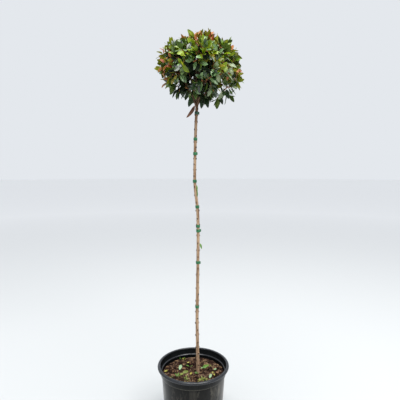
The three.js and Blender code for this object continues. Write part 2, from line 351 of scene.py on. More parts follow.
def bark_material():
    """Tan bark with darker streaks and pores, turning darker and red-brown where the stem enters the
    crown: younger bark, and painted shade beneath the crown.
    """
    m = Nodes("stem_bark", 0.75, 0.25)
    streaks = m.noise(170, 7, 0.68, (1, 1, 0.12), 0.4)
    patches = m.noise(34, 5, 0.65, (1, 1, 0.6))
    tan = m.ramp(streaks, (0.34, (98, 74, 56)), (0.48, (162, 132, 104)), (0.66, (200, 173, 143)))
    mottled = m.mix(m.ramp(patches, (0.45, 0.0), (0.64, 0.6)), tan, linear(140, 110, 84))
    pores = m.ramp(m.cells(300, (1, 1, 0.5)), (0.1, 0.0), (0.3, 1.0))
    speckled = m.mix(pores, linear(78, 56, 42), mottled)
    # Painted shade, partly younger bark: the stem darkens and reddens from 0.98 m to 1.14 m, towards the
    # crown.
    young = m.mix(0.8, speckled, linear(112, 84, 66), "MULTIPLY")
    colour = m.mix(m.range(m.height(), 0.98, 1.14), speckled, young)
    m.bump(m.mix(0.5, streaks, m.noise(600, 4, 0.6, (1, 1, 0.2))), 0.0006, 0.6)
    return m.done(colour)


def twig_material(name, dark, middle, light):
    m = Nodes(name, 0.65, 0.2)
    colour = m.ramp(m.noise(90, 4), (0.35, dark), (0.55, middle), (0.75, light))
    m.bump(m.noise(700, 3), 0.0003, 0.5)
    return m.done(colour)


def tape_material(name, dark, light):
    m = Nodes(name, 0.38, 0.5)
    colour = m.ramp(m.noise(160, 3), (0.35, dark), (0.65, light))
    m.bump(m.noise(500, 2, 0.5, (1, 1, 0.3)), 0.0003, 0.4)
    return m.done(colour, m.range(m.noise(60), 0.3, 0.7, 0.3, 0.5))


def leaf_material(name, deep, middle, light, roughness, specular, wax=0.0):
    """Each leaf takes its tone from where it grows, as the pattern is coarser than a leaf."""
    m = Nodes(name, roughness, specular)
    tone = m.noise(34, 2, 0.5)
    mottle = m.noise(240, 3, 0.6)
    colour = m.ramp(tone, (0.36, deep), (0.5, middle), (0.64, light))
    shaded = m.mix(m.range(mottle, 0.35, 0.65, 0.0, 0.22), colour, linear(*deep))
    m.bump(m.noise(520, 2), 0.0004, 0.35)
    m.set(m.shader, {"Coat Weight": wax, "Coat Roughness": 0.22})
    return m.done(shaded, m.range(mottle, 0.3, 0.7, roughness - 0.05, roughness + 0.07))


# ---- small lumps


def lump_shape():
    """Points and faces of a small round lump."""
    bm = bmesh.new()
    bmesh.ops.create_icosphere(bm, subdivisions=1, radius=1)
    points = np.array([v.co for v in bm.verts])
    faces = [[v.index for v in f.verts] for f in bm.faces]
    bm.free()
    return points, faces


LUMP_POINTS, LUMP_FACES = lump_shape()


def uneven_lump(rng, unevenness):
    return LUMP_POINTS * (1 + rng.uniform(-unevenness, unevenness, (len(LUMP_POINTS), 1)))


# ---- pot

POT_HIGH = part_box("pot")[1]
POT_HEIGHT = POT_HIGH.z
LIP_RADIUS = POT_HIGH.x
LIP_HEIGHT = 10 * MM
WALL = 1.8 * MM
FLOOR = 2.6 * MM
BASE_RADIUS = 100 * MM
BODY_RADIUS = 111.5 * MM
BODY_TOP = 186 * MM
COLLAR_FOOT = 115 * MM
COLLAR_TOP = 118 * MM
COLLAR_HEIGHT = 20.5 * MM
LEDGE_TOP = 198 * MM
POT_SIDES = 144
DRAIN_COUNT = 8
DRAIN_RING = 76 * MM
DRAIN_RADIUS = 6 * MM
DRAIN_SIDES = 24
SWAY = 0.0022


def pot_profile():
    bead = LIP_HEIGHT / 2
    slope = (BODY_RADIUS - BASE_RADIUS) / BODY_TOP
    wall = [(BASE_RADIUS + slope * z, z) for z in np.linspace(4 * MM, BODY_TOP - 1.5 * MM, 24)]
    depths = np.linspace(LEDGE_TOP - 3 * MM, 12 * MM, 14)
    inside = [(BODY_RADIUS - WALL - slope * (BODY_TOP - z), z) for z in depths]
    flare = COLLAR_TOP - COLLAR_FOOT
    foot = BODY_TOP + 2 * MM
    collar = [(COLLAR_FOOT + flare * t, foot + COLLAR_HEIGHT * t) for t in (0.3, 0.6, 0.9, 1)]
    return [
        (0, 1.2 * MM),
        (BASE_RADIUS - 9 * MM, 1.2 * MM),
        (BASE_RADIUS - 8 * MM, 0),
        *arc(BASE_RADIUS - 3.2 * MM, 3.2 * MM, 3.2 * MM, -90, -10, 4),
        *wall,
        *arc(BODY_RADIUS + 1.2 * MM, BODY_TOP - 0.4 * MM, 1.2 * MM, 180, 90, 3),
        *arc(COLLAR_FOOT - 1.2 * MM, BODY_TOP + 2 * MM, 1.2 * MM, -70, 0, 3),
        *collar,
        *arc(LIP_RADIUS - bead, POT_HEIGHT - bead, bead, -100, 90, 12),
        *arc(COLLAR_TOP - WALL + 2.4 * MM, POT_HEIGHT - 2.4 * MM, 2.4 * MM, 90, 180, 4),
        (COLLAR_FOOT - WALL, LEDGE_TOP + 1 * MM),
        (COLLAR_FOOT - WALL - 0.8 * MM, LEDGE_TOP),
        (BODY_RADIUS - WALL + 0.6 * MM, LEDGE_TOP - 1.2 * MM),
        *inside,
        (BASE_RADIUS - 2 * WALL - 2 * MM, FLOOR),
        (0, FLOOR),
    ]


def drill_floor(pot):
    """Round drain holes through the pot's floor."""
    size = {"radius1": DRAIN_RADIUS, "radius2": DRAIN_RADIUS, "depth": 5 * FLOOR}
    bm = bmesh.new()
    for i in range(DRAIN_COUNT):
        made = bmesh.ops.create_cone(bm, cap_ends=True, segments=DRAIN_SIDES, **size)
        place = DRAIN_RING * level_direction(2 * math.pi * i / DRAIN_COUNT)
        bmesh.ops.translate(bm, verts=made["verts"], vec=place)
    cutter = new_object("drain_cutter", bpy.data.meshes.new("drain_cutter"))
    bm.to_mesh(cutter.data)
    bm.free()
    modifier = pot.modifiers.new("drain", "BOOLEAN")
    modifier.operation = "DIFFERENCE"
    modifier.object = cutter
    modifier.solver = "EXACT"
    with bpy.context.temp_override(object=pot, active_object=pot):
        bpy.ops.object.modifier_apply(modifier=modifier.name)
    bpy.data.objects.remove(cutter)


def pot_finish(centre, normal):
    """Which of the pot's three finishes a face has: 0 outside, 1 inside, 2 lip and ledge."""
    radius = math.hypot(centre.x, centre.y)
    inward = centre.x * normal.x + centre.y * normal.y < 0
    on_lip = centre.z > POT_HEIGHT - LIP_HEIGHT and radius > COLLAR_TOP - WALL
    on_ledge = inward and abs(centre.z - LEDGE_TOP) < 2.2 * MM
    if on_lip or on_ledge:
        return 2
    return 1 if inward and centre.z > FLOOR else 0


def make_pot():
    vertices, faces = turned(pot_profile(), POT_SIDES)
    angle = np.arctan2(vertices[:, 1], vertices[:, 0])
    sway = SWAY * np.sin(2 * angle + 0.6) * (vertices[:, 2] / POT_HEIGHT) ** 2
    vertices[:, :2] *= (1 - np.abs(sway))[:, None]
    pot = make_piece("nursery_pot", vertices, faces, pot_material(), "pot_plastic")
    pot.data.materials.append(pot_inside_material())
    pot.data.materials.append(pot_lip_material())
    for polygon in pot.data.polygons:
        polygon.material_index = pot_finish(polygon.center, polygon.normal)
    drill_floor(pot)
    pot.data.set_sharp_from_angle(angle=math.radians(40))
    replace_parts(pot, "pot")


# ---- stem and boughs


def trunk_rings():
    """Centre and radius of each of the trunk node's level rings."""
    points = node_points("trunk")
    levels = points[:, 2].round(4)
    rings = [points[levels == z] for z in np.unique(levels)]
    return [[*r.mean(axis=0), np.linalg.norm(r - r.mean(axis=0), axis=1).max()] for r in rings]


def limb_axis(name, count):
    """The smooth axis of a bough node, with its radii, from the trunk to the bough's tip."""
    points = node_points(name)
    start = points[points[:, 2] < points[:, 2].min() + 3 * MM].mean(axis=0)
    away = np.linalg.norm(points - start, axis=1)
    fit = np.polyfit(away, points, 3)
    steps = np.linspace(0, away.max(), count)
    off = np.linalg.norm(points - np.vander(away, 4) @ fit, axis=1)
    radii = np.polyval(np.polyfit(away, off, 1), steps)
    return np.vander(steps, 4) @ fit, np.maximum(radii, 0.8 * MM)


NODE_SPACING = 22 * MM
SCAR_SEED = 4
KNOTS = 15
KNOT_SEED = 5
BUD_SEED = 12
ALL_ROUND = 1e6
TRUNK_STATIONS = 760
TRUNK_SIDES = 28
BOUGH_STATIONS = 40
BOUGH_SIDES = 14


def leaf_scars(low, high):
    """Height, bearing and size of each pair of old leaf scars up the stem, each pair across the last."""
    rng = random.Random(SCAR_SEED)
    scars, z, turn = [], low + 14 * MM, 0.4
    while z < high:
        scars.append((z, turn, rng.uniform(0.5, 1.1)))
        z += NODE_SPACING * rng.uniform(0.75, 1.25)
        turn += math.pi / 2 + rng.uniform(-0.2, 0.2)
    return scars


def bark_swellings(low, high, scars):
    """Height, bearing, size, half height and half width of each swelling on the stem."""
    rng = random.Random(KNOT_SEED)
    found = []
    for _ in range(KNOTS):
        height, facing = rng.uniform(low + 0.05, high - 0.05), rng.uniform(0, 2 * math.pi)
        found.append((height, facing, rng.uniform(0.9, 1.7), 2.6 * MM, 0.45))
    for height, facing, size in scars:
        found.append((height, 0.0, 0.22 * size, 2.0 * MM, ALL_ROUND))
        for bearing in (facing, facing + math.pi):
            found.append((height + 1 * MM, bearing, 0.95 * size, 1.8 * MM, 0.34))
    return found


def bark_relief(heights, scars):
    """The swellings at the stem's old leaf nodes, a few knots, and the bark's fine ridges."""
    swellings = bark_swellings(heights[0], heights[-1], scars)
    near = [[w for w in swellings if abs(z - w[0]) < 9 * MM] for z in heights]

    def relief(angle, i):
        z, total = heights[i], 0.0
        for height, facing, size, rise, spread in near[i]:
            away = abs((angle - facing + math.pi) % (2 * math.pi) - math.pi)
            total += size * math.exp(-(((z - height) / rise) ** 2) - (away / spread) ** 2)
        broad = Vector((2.2 * math.cos(angle), 2.2 * math.sin(angle), z * 22))
        fine = Vector((broad.x * 3, broad.y * 3, z * 140))
        return (total + 0.26 * noise.noise(broad) + 0.16 * noise.noise(fine)) * MM

    return relief


def make_stem():
    """The stem and the boughs in one mesh. Returns the stem's path with its radii, and the boughs."""
    stem = spline(trunk_rings(), TRUNK_STATIONS)
    soup = Soup()
    scars = leaf_scars(stem[0][2], stem[-1][2])
    soup.add(*tube(stem[:, :3], stem[:, 3], TRUNK_SIDES, bark_relief(stem[:, 2], scars)))
    make_scars(stem, scars)
    boughs = {}
    for k, name in enumerate(BOUGHS):
        axis, thickness = limb_axis(name, BOUGH_STATIONS)
        sunk_start = axis[0] - unit(axis[1] - axis[0]) * 5 * MM
        axis = np.vstack([sunk_start, axis])
        collar = 1 + 0.55 * np.exp(-np.arange(len(axis)) / 3.0)
        thickness = np.concatenate([thickness[:1], thickness]) * collar
        soup.add(*tube(axis, thickness, BOUGH_SIDES, bough_relief(k)))
        boughs[name] = axis, thickness[-1]
    piece = make_piece("stem_and_boughs", *soup.joined(), bark_material(), "bark")
    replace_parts(piece, "trunk", *BOUGHS)
    return stem, boughs


def stem_frame(stem, height, bearing):
    """A point on the bark at a height, and the directions out from it and up the stem there."""
    i = int(np.clip(np.searchsorted(stem[:, 2], height), 1, len(stem) - 2))
    up = unit(stem[i + 1, :3] - stem[i - 1, :3])
    out = level_direction(bearing)
    out = unit(out - up * np.dot(out, up))
    return stem[i, :3] + out * stem[i, 3], out, up


def make_scars(stem, scars):
    """Dark buds and corky scars in opposite pairs where leaves once grew."""
    rng = np.random.default_rng(BUD_SEED)
    soup = Soup()
    for height, facing, size in scars:
        for bearing in (facing, facing + math.pi):
            spot, out, up = stem_frame(stem, height, bearing)
            across = np.cross(up, out)
            lump = uneven_lump(rng, 0.2) * np.array([2.1, 1.1, 2.5]) * MM * (0.75 + 0.5 * size)
            soup.add(spot + out * 0.9 * MM + lump @ np.array([across, out, up]), LUMP_FACES)
    m = Nodes("bud_scars", 0.8, 0.2)
    tone = m.ramp(m.noise(240, 3), (0.35, (36, 24, 18)), (0.6, (66, 46, 34)), (0.75, (96, 70, 52)))
    make_piece("stem_bud_scars", *soup.joined(), m.done(tone), "bark")


def bough_relief(seed):
    def relief(angle, i):
        spot = Vector((1.8 * math.cos(angle), 1.8 * math.sin(angle), i * 0.45 + 10 * seed))
        ring = 0.3 * math.exp(-(((i % 11 - 5) / 0.9) ** 2))
        return (0.28 * noise.noise(spot) + ring) * MM

    return relief


# ---- tape bands


TAPE_WIDTH = 9.2 * MM
TAPE_THICKNESS = 0.28 * MM
TAPE_TURNS = 2.05
TAPE_STEPS = 96
TAPE_ROWS = 7


def tape_faces():
    """Faces of a thin strip, whose points come row by row in pairs, inner and outer."""
    at = np.arange((TAPE_STEPS + 1) * TAPE_ROWS * 2).reshape(-1, TAPE_ROWS, 2)
    sides = quads(at[..., 1], True) + quads(at[..., 0])
    edges = quads(at[:, 0].T) + quads(at[:, -1].T, True)
    return sides + edges + quads(at[0].T, True) + quads(at[-1].T)


def tape_band(centre, axis, inner, seed):
    """Two turns of thin tape, the second a little askew, ending in a short free tab."""
    rng = random.Random(seed)
    side = unit(np.cross(axis, [0.2, -1, 0.1]))
    front = np.cross(axis, side)
    tilt = rng.uniform(-0.10, 0.10)
    start = rng.uniform(0, 2 * math.pi)
    vertices = []
    for i in range(TAPE_STEPS + 1):
        share = i / TAPE_STEPS
        angle = start + 2 * math.pi * TAPE_TURNS * share
        lift = max(0.0, share - 0.955) / 0.045
        radius = inner + 0.2 * MM + share * 0.75 * MM + 3.4 * MM * lift**1.6
        crease = 0.16 * MM * math.sin(7 * angle + seed) + 0.1 * MM * math.sin(13 * angle)
        outward = side * math.cos(angle) + front * math.sin(angle)
        drop = tilt * 6 * MM * math.sin(angle) + (0.5 * MM if share > 0.5 else -0.4 * MM)
        for j in range(TAPE_ROWS):
            across = j / (TAPE_ROWS - 1) - 0.5
            belly = 0.22 * MM * math.cos(math.pi * across) + crease * (1 - 2 * abs(across))
            spot = centre + outward * (radius + belly) + axis * (across * TAPE_WIDTH + drop)
            vertices += [spot, spot + outward * TAPE_THICKNESS]
    return vertices, tape_faces()


def make_ties(stem):
    """A band of tape in place of each tie node, the highest one darker as painted shade under the crown.
    """
    clean = tape_material("tie_tape", (26, 88, 52), (50, 124, 78))
    # Painted shade: a darker copy of the tape for the highest band, which sits in the crown's shadow.
    painted_shade = tape_material("soiled_tape", (10, 40, 28), (30, 84, 56))
    heights = [(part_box(name)[0].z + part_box(name)[1].z) / 2 for name in TIES]
    for k, (name, height) in enumerate(zip(TIES, heights)):
        i = int(np.argmin(np.abs(stem[:, 2] - height)))
        axis = unit(stem[i + 1, :3] - stem[i - 1, :3])
        tape = painted_shade if height == max(heights) else clean
        shape = tape_band(stem[i, :3], axis, stem[i, 3] + 0.5 * MM, k)
        band = make_piece(f"tape_band_{k + 1}", *shape, tape, "tape")
        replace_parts(band, name)


# ---- soil

SOIL_LOW, SOIL_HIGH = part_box("soil")
SOIL_RADIUS = SOIL_HIGH.x
SOIL_LEVEL = SOIL_HIGH.z - 3.2 * MM
SOIL_RINGS = 74
SOIL_SIDES = 220
CRUMB_FINISH = "soil_lumps", (14, 10, 8), (60, 44, 36), (152, 126, 100)
CHIP_FINISH = "chip_bark", (86, 60, 44), (142, 112, 82), (196, 172, 136)
# Loose lumps on the soil, by piece: how many, least and greatest size, stretch, seed and finish.
LOOSE_LUMPS = {
    "soil_crumbs": (900, (0.8 * MM, 2.8 * MM), 1.3, 3, CRUMB_FINISH),
    "bark_chips": (230, (0.8 * MM, 2.2 * MM), 3.0, 8, CHIP_FINISH),
}


def soil_height(x, y, foot):
    """Height of the crumbly surface, with a low mound round the stem's foot."""
    spot = Vector((x, y, 0))
    broad = 2.4 * MM * noise.noise(spot * 28) + 1.5 * MM * noise.noise(spot * 75 + Vector((3, 1, 0)))
    crumbs = 1.5 * MM * noise.turbulence(spot * 210, 3, False)
    mound = 1.6 * MM * math.exp(-((math.hypot(x - foot[0], y - foot[1]) / 0.02) ** 2))
    return SOIL_LEVEL + broad + crumbs - 0.8 * MM + mound


def soil_mesh(foot):
    """A closed plug with a crumbly top, which dips a little along the pot's wall."""
    vertices = []
    for i in range(SOIL_RINGS):
        radius = SOIL_RADIUS * (1 - i / SOIL_RINGS)
        dip = 1.2 * MM * math.exp(-(SOIL_RADIUS - radius) / 0.003)
        for j in range(SOIL_SIDES):
            a = 2 * math.pi * j / SOIL_SIDES
            x, y = radius * math.cos(a), radius * math.sin(a)
            vertices.append((x, y, soil_height(x, y, foot) - dip))
    shrink = (BASE_RADIUS - 2 * WALL - 0.6 * MM) / SOIL_RADIUS
    under = [(x * shrink, y * shrink, SOIL_LOW.z) for x, y, _ in vertices[:SOIL_SIDES]]
    centre = len(vertices)
    vertices += [(0, 0, soil_height(0, 0, foot)), *under, (0, 0, SOIL_LOW.z)]
    top = closed_rings(SOIL_RINGS, SOIL_SIDES)
    rim = top[0] + centre + 1
    wall = quads(np.array([rim, top[0]]))
    faces = quads(top) + fan(centre, top[-1]) + wall + fan(len(vertices) - 1, rim, True)
    return vertices, faces


def scattered_lumps(count, size, stretch, seed, foot):
    """Lumps of soil or chips of bark lying on the surface."""
    rng = np.random.default_rng(seed)
    soup = Soup()
    for _ in range(count):
        radius, a = SOIL_RADIUS * 0.97 * math.sqrt(rng.random()), rng.uniform(0, 2 * math.pi)
        x, y = radius * math.cos(a), radius * math.sin(a)
        lump = uneven_lump(rng, 0.3) * rng.uniform(*size) * np.array([stretch, 1, rng.uniform(0.4, 0.8)])
        turn = rng.uniform(0, math.pi)
        c, s = math.cos(turn), math.sin(turn)
        lump = lump @ np.array([[c, s, 0], [-s, c, 0], [0, 0, 1]])
        soup.add(lump + [x, y, soil_height(x, y, foot) + 0.3 * MM], LUMP_FACES)
    return soup.joined()


def make_soil(foot):
    mix = soil_material("potting_mix", (10, 6, 5), (62, 43, 36), (164, 138, 110))
    ground = make_piece("potting_mix", *soil_mesh(foot), mix, "soil")
    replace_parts(ground, "soil")
    for name, (count, size, stretch, seed, look) in LOOSE_LUMPS.items():
        lumps = scattered_lumps(count, size, stretch, seed, foot)
        make_piece(name, *lumps, soil_material(*look), "soil", smooth=False)


# ---- leaves

LEAF_ROWS = np.array([0.0, 0.1, 0.26, 0.45, 0.64, 0.82, 0.93, 1.0])
LEAF_COLUMNS = np.array([-1.0, -0.5, 0.0, 0.5, 1.0])
LEAF_THICKNESS = 0.4 * MM


def leaf_outline(share):
    """Half width of a leaf, as a share of its greatest, from its foot to its pointed tip."""
    return np.sin(math.pi * share**0.92) ** 0.72 * (1 - 0.1 * share)


def leaf_faces(flip):
    """Faces of one blade: pointed ends, and quads between them."""
    body = 1 + np.arange((len(LEAF_ROWS) - 2) * len(LEAF_COLUMNS)).reshape(-1, len(LEAF_COLUMNS))
    return fan(0, body[0], not flip) + quads(body, flip) + fan(body[-1, -1] + 1, body[-1], flip)


def leaf_across(forward, facing, foot, length, width, fold, curl, wave):
    """A leaf that grows forward from its foot, with its face turned to facing as far as it can be."""
    normal = unit(facing - forward * np.dot(facing, forward))
    return foot, forward, normal, length, width, math.radians(fold), math.radians(curl), wave


def blades(leaves, under=False):
    """Vertices and faces of many leaves, each as leaf_across gives it, or of their undersides."""
    values = (np.array(column)[:, None, None] for column in zip(*leaves))
    foot, forward, normal, length, width, fold, curl, wave = values
    share, column = LEAF_ROWS[:, None], LEAF_COLUMNS
    bend = curl * share**1.3
    middle = (bend[:, 1:] + bend[:, :-1]) / 2
    step = np.diff(LEAF_ROWS)[:, None] * length
    zero = np.zeros((len(leaves), 1, 1))
    run = np.hstack([zero, np.cumsum(step * np.cos(middle), axis=1)])
    drop = np.hstack([zero, np.cumsum(-step * np.sin(middle), axis=1)])
    half = leaf_outline(share) * width / 2
    out = half * column * np.cos(fold)
    ripple = 0.1 * half * np.sin(9 * share + wave + 2 * column)
    rise = (half * np.sin(fold) + ripple) * np.abs(column)
    if under:
        rise = rise - LEAF_THICKNESS * (1 - column**2) * np.sin(math.pi * share)
    up = normal * np.cos(bend)[..., None] + forward * np.sin(bend)[..., None]
    spine = foot + forward * run[..., None] + normal * drop[..., None]
    grid = spine + np.cross(forward, normal) * out[..., None] + up * rise[..., None]
    body = grid[:, 1:-1].reshape(len(leaves), -1, 3)
    points = np.hstack([spine[:, 0], body, spine[:, -1]])
    pattern = leaf_faces(under)
    per_leaf = points.shape[1]
    faces = [[k + n * per_leaf for k in f] for n in range(len(leaves)) for f in pattern]
    return points.reshape(-1, 3), faces


# ---- loose and stray leaves

LITTER_SEED = 31
LITTER_LOOKS = {
    "pale": ((112, 142, 92), (132, 162, 114), (152, 180, 140), 0.5, 0.35),
    "green": ((58, 94, 20), (84, 126, 30), (110, 148, 46), 0.45, 0.4),
    "olive": ((82, 96, 34), (108, 120, 44), (134, 142, 64), 0.5, 0.4),
    "yellow": ((132, 128, 48), (158, 152, 60), (182, 174, 88), 0.5, 0.35),
    "brown": ((80, 54, 38), (112, 80, 56), (142, 108, 78), 0.6, 0.3),
}
# Leaves lying on the soil: look, middle in millimetres, length, bearing in degrees, and how far the
# face leans to the front.
FALLEN = [
    ("pale", -47, 22, 25, 80, 45),
    ("pale", 60, -35, 19, 70, 45),
    ("pale", 30, 25, 9, 10, 30),
    ("pale", 78, 15, 12, 20, 20),
    ("green", 43, 31, 23, 35, 50),
    ("green", 52, 37, 13, 60, 45),
    ("green", 13, -11, 17, 5, 35),
    ("olive", -27, -4, 22, 20, 45),
    ("brown", -33, 0, 12, 40, 40),
    ("olive", -40, -18, 15, 45, 25),
    ("yellow", -8, -12, 13, 60, 40),
    ("yellow", 73, -24, 11, 110, 30),
    ("yellow", -97, 2, 14, 40, 20),
    ("yellow", 69, -5, 8, 15, 20),
    ("yellow", -20, 62, 10, 30, 10),
    ("brown", -35, 18, 17, 150, 20),
    ("brown", 22, 58, 14, 70, 10),
    ("brown", 84, -8, 15, 125, 15),
    ("brown", -72, -22, 15, 10, 15),
]
# Weeds and seedlings: look, foot in millimetres, number of leaves, and their length.
SPRIGS = [
    ("olive", 24, -58, 8, 11),
    ("olive", 33, -52, 8, 10),
    ("olive", 42, -54, 6, 9),
    ("yellow", 18, -66, 5, 8),
    ("green", -54, -37, 4, 17),
    ("olive", -28, -45, 4, 13),
    ("olive", -19, -60, 5, 11),
    ("yellow", -23, -68, 3, 8),
    ("green", -13, 36, 3, 15),
    ("green", -45, 86, 3, 15),
    ("yellow", -37, 80, 3, 9),
    ("olive", -74, -38, 4, 9),
    ("olive", 66, 34, 3, 8),
]
# Leaves that hang from the stem. For each piece: its material, the way its leaves face, their fold and
# curl, and the leaves. For each leaf: the height and bearing of its foot, how far out and up from the
# bark that is, the leaf's direction, length and width, and where its ripple starts. Heights are in
# metres, angles in degrees and other lengths in millimetres.
HUNG_LEAVES = {
    "dead_leaf": (
        ("dead_leaf", (78, 50, 36), (112, 76, 56), (144, 104, 80), 0.6, 0.3),
        ((0.55, -0.8, -0.1), 36, 20),
        [(1.118, 200, 3, 0, (-0.5, -0.1, -0.86), 50, 17, 1.0)],
    ),
    "stem_leaves": (
        ("stem_leaf", (74, 112, 42), (98, 138, 56), (124, 160, 74), 0.42, 0.45),
        ((0.5, -1.0, 0.1), 20, 8),
        [
            (0.651, -12, 1.2, 0, (0.30, -0.25, -0.92), 21, 8.0, 0.651),
            (0.852, -20, 1.2, 0, (0.10, -0.12, -0.98), 24, 5.5, 0.852),
            (0.834, -28, 1.2, 0, (0.06, -0.10, -0.99), 24, 5.0, 0.834),
        ],
    ),
    "leaves_hung_at_fork": (
        ("hung_leaf", (20, 40, 16), (30, 54, 24), (44, 72, 34), 0.4, 0.3),
        ((0.2, -1.0, 0.25), 10, 18),
        [
            (1.139, 205, 15, 6, (-0.3, -0.2, -0.95), 36, 16.5, 1.139),
            (1.138, -20, 14, 6, (-0.1, -0.2, -0.95), 36, 16.5, 1.138),
            (1.143, 20, 24, 6, (0.3, -0.2, -0.95), 36, 16.5, 1.143),
        ],
    ),
}
STALK_RADIUS = 0.5 * MM
STALK_SIDES = 4
TWIG_TONES = (52, 34, 24), (86, 56, 38), (122, 84, 58)
SHOOT_TONES = (98, 58, 32), (148, 94, 52), (184, 132, 78)


def both_faces(leaves):
    soup = Soup()
    soup.add(*blades(leaves))
    soup.add(*blades(leaves, True))
    return soup.joined()


def fallen_leaf(x, y, length, bearing, lean, foot, rng):
    """A leaf lying on the soil, its face leaning to the front."""
    forward = level_direction(math.radians(bearing))
    facing = UP - math.tan(math.radians(lean)) * np.array([0.0, 1.0, 0.0])
    forward = unit(forward + 0.1 * UP - facing * 0.5 * np.dot(forward, facing) / np.dot(facing, facing))
    start = np.array([x, y, 0]) * MM - forward * length / 2 * MM
    start[2] = soil_height(start[0], start[1], foot) + rng.uniform(1.5, 3.5) * MM
    width = length * rng.uniform(0.5, 0.62) * MM
    return leaf_across(forward, facing, start, length * MM, width, 16, rng.uniform(10, 35), x)


def sprig(x, y, count, length, foot, rng):
    """The leaves of a small weed."""
    start = np.array([x * MM, y * MM, soil_height(x * MM, y * MM, foot)])
    leaves = []
    for i in range(count):
        out = level_direction(2.4 * i + rng.uniform(-0.4, 0.4))
        forward = unit(out + rng.uniform(0.2, 1.6) * UP)
        size = length * rng.uniform(0.55, 1.15) * MM
        lifted = start + UP * rng.uniform(0.5, 4.0) * MM + out * rng.uniform(0.8, 3.5) * MM
        leaves.append(leaf_across(forward, UP - 0.3 * out, lifted, size, size * 0.4, 14, 30, i))
    return leaves


def make_litter(foot):
    """Fallen leaves and small weeds on the soil."""
    rng = random.Random(LITTER_SEED)
    found = {name: [] for name in LITTER_LOOKS}
    for look, x, y, length, bearing, lean in FALLEN:
        found[look].append(fallen_leaf(x, y, length, bearing, lean, foot, rng))
    for look, x, y, count, length in SPRIGS:
        found[look] += sprig(x, y, count, length, foot, rng)
    for name, leaves in found.items():
        material = leaf_material(f"litter_{name}", *LITTER_LOOKS[name])
        make_piece(f"litter_{name}", *both_faces(leaves), material, "foliage")


def stalk(foot, tip):
    return tube(np.array([foot, tip]), [STALK_RADIUS, STALK_RADIUS], STALK_SIDES)


def make_hung_leaves(stem):
    """The leaves that hang from the stem, with a stalk where the foot stands above the bark."""
    stalks = Soup()
    for name, (look, (facing, fold, curl), rows) in HUNG_LEAVES.items():
        leaves = []
        for height, bearing, reach, rise, way, length, width, wave in rows:
            spot, out, _ = stem_frame(stem, height, math.radians(bearing))
            foot = spot + (out * reach + UP * rise) * MM
            shape = length * MM, width * MM, fold, curl, wave
            leaves.append(leaf_across(unit(way), np.array(facing), foot, *shape))
            if rise:
                stalks.add(*stalk(spot, foot))
        make_piece(name, *both_faces(leaves), leaf_material(*look), "foliage")
    brown = twig_material("hung_leaf_stalk", *TWIG_TONES)
    make_piece("stalks_hung_at_fork", *stalks.joined(), brown, "young_bark")


# ---- crown

CROWN_LOW = np.min([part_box(name)[0] for name in MASSES], axis=0)
CROWN_HIGH = np.max([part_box(name)[1] for name in MASSES], axis=0)
CROWN_CENTRE = (CROWN_LOW + CROWN_HIGH) / 2
CROWN_HALF = (CROWN_HIGH - CROWN_LOW) / 2
SHOOT_SPACING = 24 * MM
INNER_SPACING = 38 * MM
SHOOT_FOOT = 1.5 * MM
SHOOT_TIP = 0.9 * MM
FINEST_TWIG = 0.55 * MM
TWIG_SIDES = 8
SHOOT_SIDES = 6
SKIN_SAMPLES = 900
SKELETON_SEED = 100
LEAF_SEED = 12000


def skin_points(name, spacing, rng):
    """Points spread evenly over a mass node's outer skin, with the outward direction there."""
    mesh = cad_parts[name].data
    skin = [p for p in mesh.polygons if np.dot(unit(p.center - Vector(CROWN_CENTRE)), p.normal) > 0.45]
    found = []
    for polygon in rng.choices(skin, weights=[p.area for p in skin], k=SKIN_SAMPLES):
        a, b = rng.random(), rng.random()
        if a + b > 1:
            a, b = 1 - a, 1 - b
        p, q, r = (np.array(mesh.vertices[v].co) for v in polygon.vertices[:3])
        spot = p + (q - p) * a + (r - p) * b
        if all(np.linalg.norm(spot - other) > spacing for other, _ in found):
            found.append((spot, unit(np.array(polygon.normal) + unit(spot - CROWN_CENTRE))))
    return found


def split(targets):
    """Parts a cluster of targets in two across its longest spread."""
    places = np.array([t[0] for t in targets])
    centred = places - places.mean(axis=0)
    _, _, axes = np.linalg.svd(centred)
    along = centred @ axes[0]
    if along.max() - along.min() < 1e-6:
        along = np.arange(len(targets)) - len(targets) / 2
    return [t for t, a in zip(targets, along) if a > 0], [t for t, a in zip(targets, along) if a <= 0]


def grow(start, heading, targets, thickness, rng, limbs, shoots):
    """Branches towards the targets, forking until each shoot has one."""
    if len(targets) == 1:
        spot, outward, kind = targets[0]
        rise = 0.8 + 0.6 * min(0.0, outward[2])
        arrival = unit(0.35 * unit(spot - start) + 0.3 * outward + rise * UP)
        path = bezier(start, heading, spot, arrival, 12)
        shoots.append((path, thickness, outward, kind))
        return
    middle = np.mean([t[0] for t in targets], axis=0)
    towards = unit(middle - start)
    jitter = np.array([rng.uniform(-1, 1) for _ in range(3)]) * 3 * MM
    fork = start + (middle - start) * rng.uniform(0.3, 0.46) + jitter
    arrival = unit(0.8 * towards + 0.2 * UP)
    children = split(targets)
    limbs.append((bezier(start, heading, fork, arrival, 7), thickness, thickness * 0.86))
    for child in children:
        share = (len(child) / len(targets)) ** 0.42
        aim = unit(np.mean([t[0] for t in child], axis=0) - fork)
        child_thickness = max(thickness * share, FINEST_TWIG)
        grow(fork, unit(0.5 * arrival + 0.5 * aim), child, child_thickness, rng, limbs, shoots)


